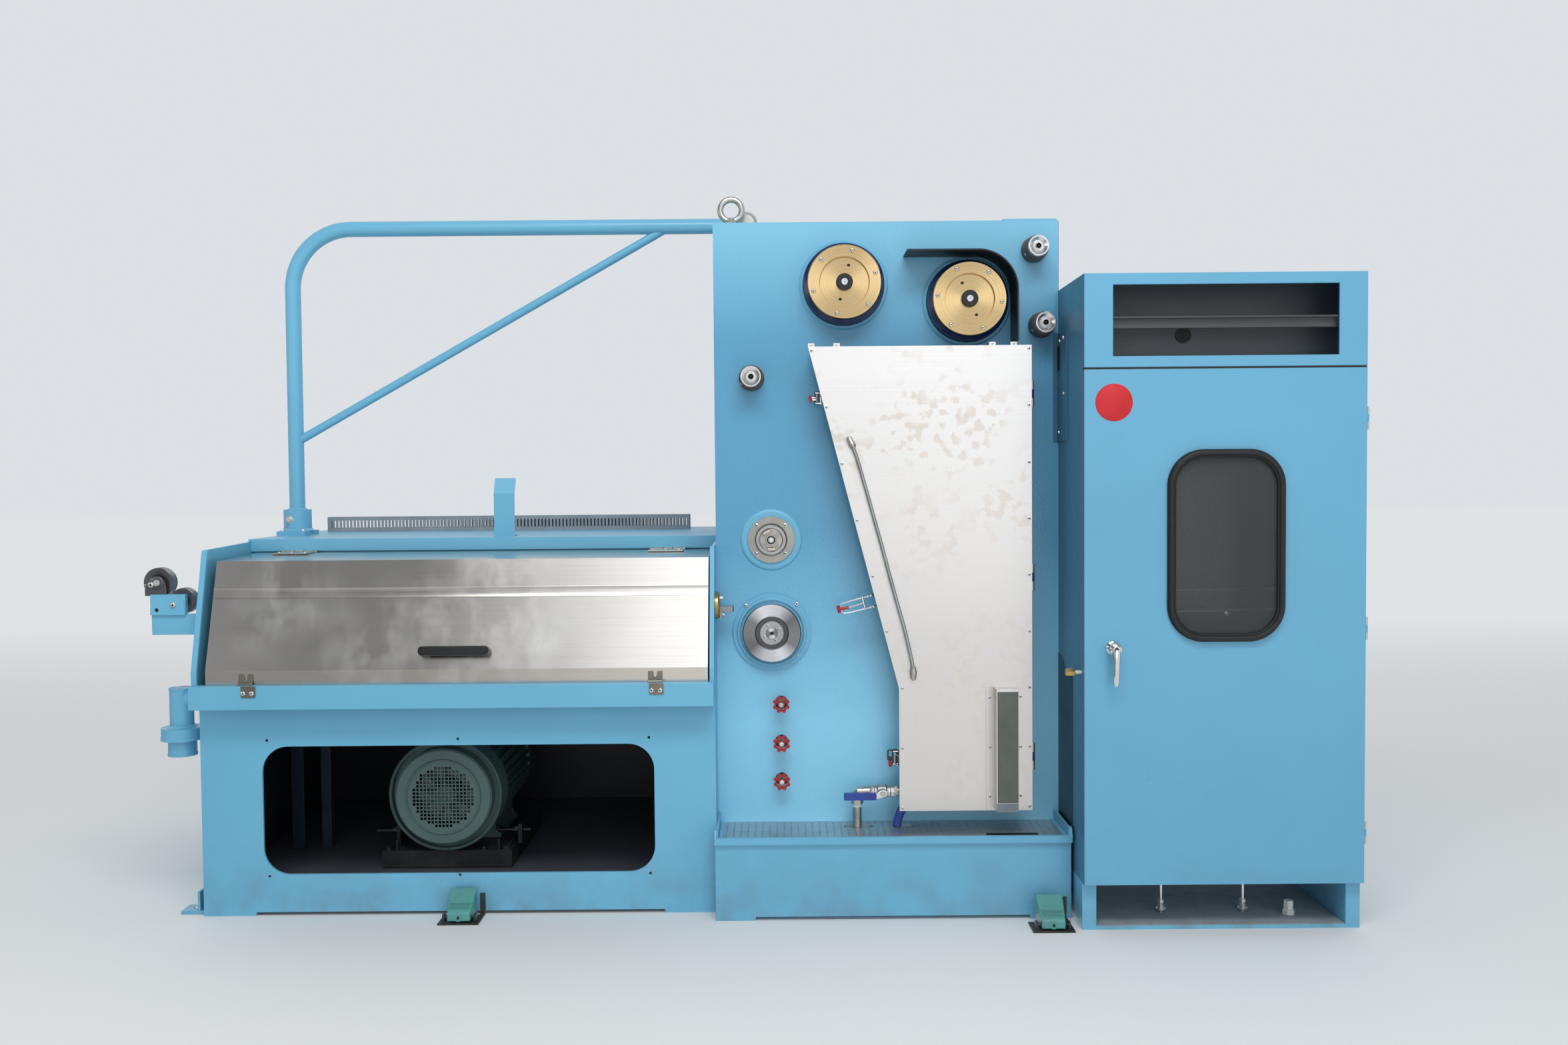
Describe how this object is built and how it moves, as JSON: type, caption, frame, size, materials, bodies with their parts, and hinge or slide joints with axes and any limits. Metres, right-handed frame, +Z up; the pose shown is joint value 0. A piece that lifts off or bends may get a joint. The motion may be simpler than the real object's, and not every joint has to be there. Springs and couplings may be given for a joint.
{
  "type": "wire drawing machine",
  "caption": "Wet wire drawing machine with a hooded drawing tub over its motor, an annealer tower with contact wheels and a hinged cover, and a control cabinet.",
  "frame": {"origin": "floor level at the tower's left front corner", "axes": "+X to the right along the machine seen from the front, -Y towards the operator, +Z up"},
  "size_m": [3.314, 1.315, 2.0382],
  "materials": {
    "blue_paint": "semi-gloss light blue machine paint",
    "navy_paint": "semi-gloss dark blue paint",
    "dark_floor": "oily dark primer",
    "motor_green": "grey-green motor paint",
    "teal_paint": "teal hammer paint on cast pedals",
    "black_iron": "black, slightly oily",
    "worn_steel": "turned and worn",
    "stainless": "brushed stainless sheet with stains",
    "zinc": "zinc plated",
    "chrome": "bright chrome",
    "aluminium": "turned",
    "brass": "dull turned brass",
    "brown_bakelite": "dark brown",
    "grey_plastic": "slotted duct plastic",
    "black_plastic": "moulded",
    "red_plastic": "red handwheels",
    "blue_lever": "blue sleeve on the lever",
    "braided_hose": "steel-braided hose",
    "sight_frame": "grey-green frame of the sight glass",
    "rubber": "window gasket",
    "pane": "clear pane"
  },
  "bodies": {
    "machine": {"base_front_plate": "blue_paint", "base_frame": "blue_paint", "base_floor": "dark_floor", "motor_body": "motor_green", "motor_cowl": "motor_green", "motor_slide_base": "black_iron", "gearbox_housing": "blue_paint", "tub": "blue_paint", "end_cheeks": "blue_paint", "draw_capstans": "worn_steel", "spray_pipe": "brass", "top_deck": "blue_paint", "hinge_leaves": "zinc", "cable_duct": "grey_plastic", "handrail": "blue_paint", "floor_lugs": "blue_paint", "roller_bracket": "blue_paint", "drain_spout": "blue_paint", "tower_housing": "blue_paint", "lifting_eye": "zinc", "wheel_mounts": "navy_paint", "tension_flange": "worn_steel", "wheel_guard": "blue_paint", "pulley_sleeves": "brown_bakelite", "valve_stems": "chrome", "annealer_box": "navy_paint", "drain_valve": "zinc", "wire_exit": "brass", "drip_tray": "blue_paint", "tray_plate": "worn_steel", "cabinet_shell": "blue_paint", "cabinet_plinth": "blue_paint", "cabinet_back_panel": "zinc", "pedal_bases": "black_iron"},
    "hood": {"hood_cover": "stainless", "hood_handle": "black_plastic"},
    "annealer_door_body": {"annealer_door": "stainless", "annealer_hose": "braided_hose", "sight_glass": "sight_frame"},
    "cabinet_door_body": {"cabinet_door": "blue_paint", "window_gasket": "rubber", "window_pane": "pane"},
    "door_handle_body": {"door_handle": "chrome"},
    "contact_left": {"contact_wheel_left": "brass"},
    "contact_right": {"contact_wheel_right": "brass"},
    "pulley_top": {"guide_pulley_top": "aluminium"},
    "pulley_middle": {"guide_pulley_middle": "aluminium"},
    "pulley_left": {"guide_pulley_left": "aluminium"},
    "tension": {"tension_wheel": "worn_steel"},
    "pulling": {"pulling_capstan": "worn_steel"},
    "wheel_top": {"handwheel_top": "red_plastic"},
    "wheel_middle": {"handwheel_middle": "red_plastic"},
    "wheel_bottom": {"handwheel_bottom": "red_plastic"},
    "lever": {"valve_lever": "blue_lever"},
    "roller_rear": {"entry_roller_rear": "black_iron"},
    "roller_front": {"entry_roller_front": "black_iron"},
    "pedal_left": {"foot_pedal_left": "teal_paint"},
    "pedal_right": {"foot_pedal_right": "teal_paint"}
  },
  "joints": [
    {"name": "hood_hinge", "type": "hinge", "parent": "machine", "child": "hood", "pos_m": [-0.705, 0.215, 0.992], "axis": [-1, 0, 0], "range_deg": [0, 103]},
    {"name": "annealer_hinge", "type": "hinge", "parent": "machine", "child": "annealer_door_body", "pos_m": [0.888, -0.08175, 0.921], "axis": [0, 0, 1], "range_deg": [0, 90]},
    {"name": "cabinet_hinge", "type": "hinge", "parent": "machine", "child": "cabinet_door_body", "pos_m": [1.719, -0.318, 0.8], "axis": [0, 0, 1], "range_deg": [0, 110]},
    {"name": "handle_turn", "type": "hinge", "parent": "cabinet_door_body", "child": "door_handle_body", "pos_m": [1.053, -0.325, 0.755], "axis": [0, -1, 0], "range_deg": [0, 90]},
    {"name": "contact_left_spin", "type": "hinge", "parent": "machine", "child": "contact_left", "pos_m": [0.369, -0.05, 1.751], "axis": [0, 1, 0], "continuous": true},
    {"name": "contact_right_spin", "type": "hinge", "parent": "machine", "child": "contact_right", "pos_m": [0.718, -0.05, 1.702], "axis": [0, 1, 0], "continuous": true},
    {"name": "pulley_top_spin", "type": "hinge", "parent": "machine", "child": "pulley_top", "pos_m": [0.909, -0.05, 1.846], "axis": [0, 1, 0], "continuous": true},
    {"name": "pulley_middle_spin", "type": "hinge", "parent": "machine", "child": "pulley_middle", "pos_m": [0.929, -0.05, 1.634], "axis": [0, 1, 0], "continuous": true},
    {"name": "pulley_left_spin", "type": "hinge", "parent": "machine", "child": "pulley_left", "pos_m": [0.106, -0.05, 1.49], "axis": [0, 1, 0], "continuous": true},
    {"name": "tension_spin", "type": "hinge", "parent": "machine", "child": "tension", "pos_m": [0.158, -0.02, 1.031], "axis": [0, 1, 0], "continuous": true},
    {"name": "pulling_spin", "type": "hinge", "parent": "machine", "child": "pulling", "pos_m": [0.158, -0.02, 0.767], "axis": [0, 1, 0], "continuous": true},
    {"name": "valve_top_turn", "type": "hinge", "parent": "machine", "child": "wheel_top", "pos_m": [0.183, -0.038, 0.564], "axis": [0, 1, 0], "range_deg": [0, 720]},
    {"name": "valve_middle_turn", "type": "hinge", "parent": "machine", "child": "wheel_middle", "pos_m": [0.183, -0.038, 0.452], "axis": [0, 1, 0], "range_deg": [0, 720]},
    {"name": "valve_bottom_turn", "type": "hinge", "parent": "machine", "child": "wheel_bottom", "pos_m": [0.183, -0.038, 0.343], "axis": [0, 1, 0], "range_deg": [0, 720]},
    {"name": "lever_turn", "type": "hinge", "parent": "machine", "child": "lever", "pos_m": [0.466, -0.088, 0.319], "axis": [0, 1, 0], "range_deg": [0, 90]},
    {"name": "roller_rear_spin", "type": "hinge", "parent": "machine", "child": "roller_rear", "pos_m": [-1.55, -0.079, 0.929], "axis": [0, 1, 0], "continuous": true},
    {"name": "roller_front_spin", "type": "hinge", "parent": "machine", "child": "roller_front", "pos_m": [-1.483, -0.079, 0.878], "axis": [0, 1, 0], "continuous": true},
    {"name": "pedal_left_press", "type": "hinge", "parent": "machine", "child": "pedal_left", "pos_m": [-0.7, -0.199, 0.015], "axis": [-1, 0, 0], "range_deg": [0, 10], "stiffness_Nm_per_rad": 8, "springref_deg": -8.59},
    {"name": "pedal_right_press", "type": "hinge", "parent": "machine", "child": "pedal_right", "pos_m": [0.9, -0.299, 0.015], "axis": [-1, 0, 0], "range_deg": [0, 10], "stiffness_Nm_per_rad": 8, "springref_deg": -8.59}
  ]
}
